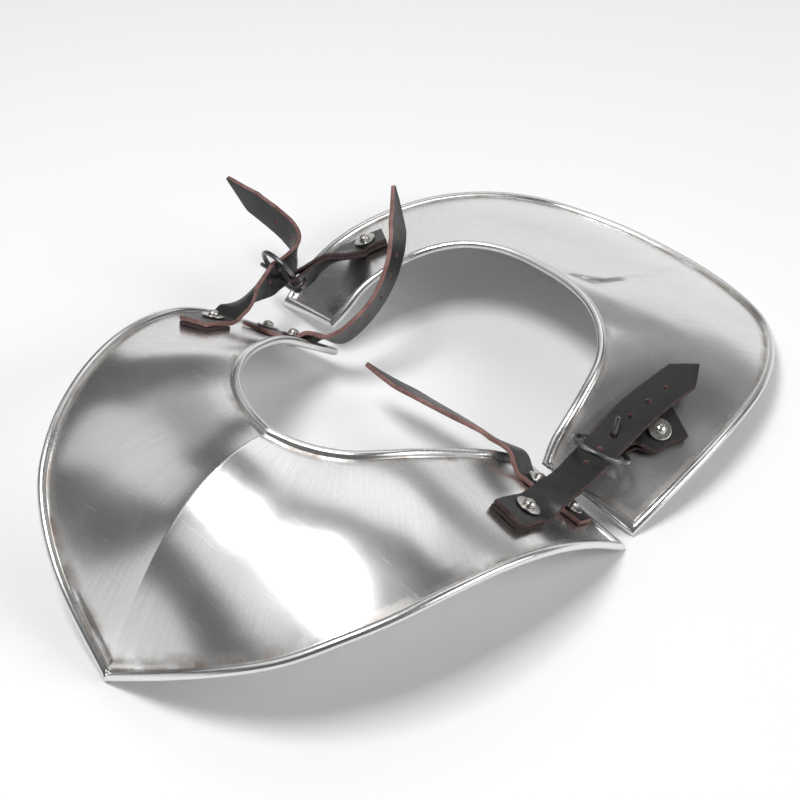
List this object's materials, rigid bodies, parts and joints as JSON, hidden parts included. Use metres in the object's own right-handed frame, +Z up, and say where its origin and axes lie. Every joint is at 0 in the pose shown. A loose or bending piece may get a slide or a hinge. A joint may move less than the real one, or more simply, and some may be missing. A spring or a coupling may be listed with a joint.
{
  "type": "steel gorget",
  "caption": "Two-plate steel neck armour with rolled edges, a ridged pointed front plate, a crescent back plate and black leather buckle straps, laid open.",
  "frame": {"origin": "under the middle of the whole laid-open gorget, on the surface that it rests on", "axes": "+Z up; +Y from the front plate's point towards the back plate; +X across the shoulders, to the wearer's left when the front plate is seen from above with its point towards the viewer"},
  "size_m": [0.3094, 0.4366, 0.0929],
  "materials": {
    "plate_steel": "hand-polished plate steel with fine scratches and a slightly brown line beside the rolled edges",
    "rivet_steel": "polished rivets and washers",
    "dark_steel": "dark oil-blackened wire",
    "black_leather": "black dyed leather with raw reddish brown cut edges"
  },
  "bodies": {
    "root": {"front_plate": "plate_steel", "back_plate": "plate_steel", "pad_a": "black_leather", "pad_b": "black_leather", "strap_a": "black_leather", "strap_b": "black_leather", "strap_c": "black_leather", "strap_d": "black_leather", "tab_a": "black_leather", "tab_b": "black_leather", "ring_a": "dark_steel", "ring_b": "dark_steel", "prong_a": "dark_steel", "prong_b": "dark_steel", "washer_strap_a": "rivet_steel", "rivet_strap_a": "rivet_steel", "washer_strap_b": "rivet_steel", "rivet_strap_b": "rivet_steel", "washer_strap_c1": "rivet_steel", "rivet_strap_c1": "rivet_steel", "washer_strap_c2": "rivet_steel", "rivet_strap_c2": "rivet_steel", "washer_strap_d1": "rivet_steel", "rivet_strap_d1": "rivet_steel", "washer_strap_d2": "rivet_steel", "rivet_strap_d2": "rivet_steel", "washer_tab_a": "rivet_steel", "rivet_tab_a": "rivet_steel", "washer_tab_b": "rivet_steel", "rivet_tab_b": "rivet_steel"}
  },
  "joints": []
}
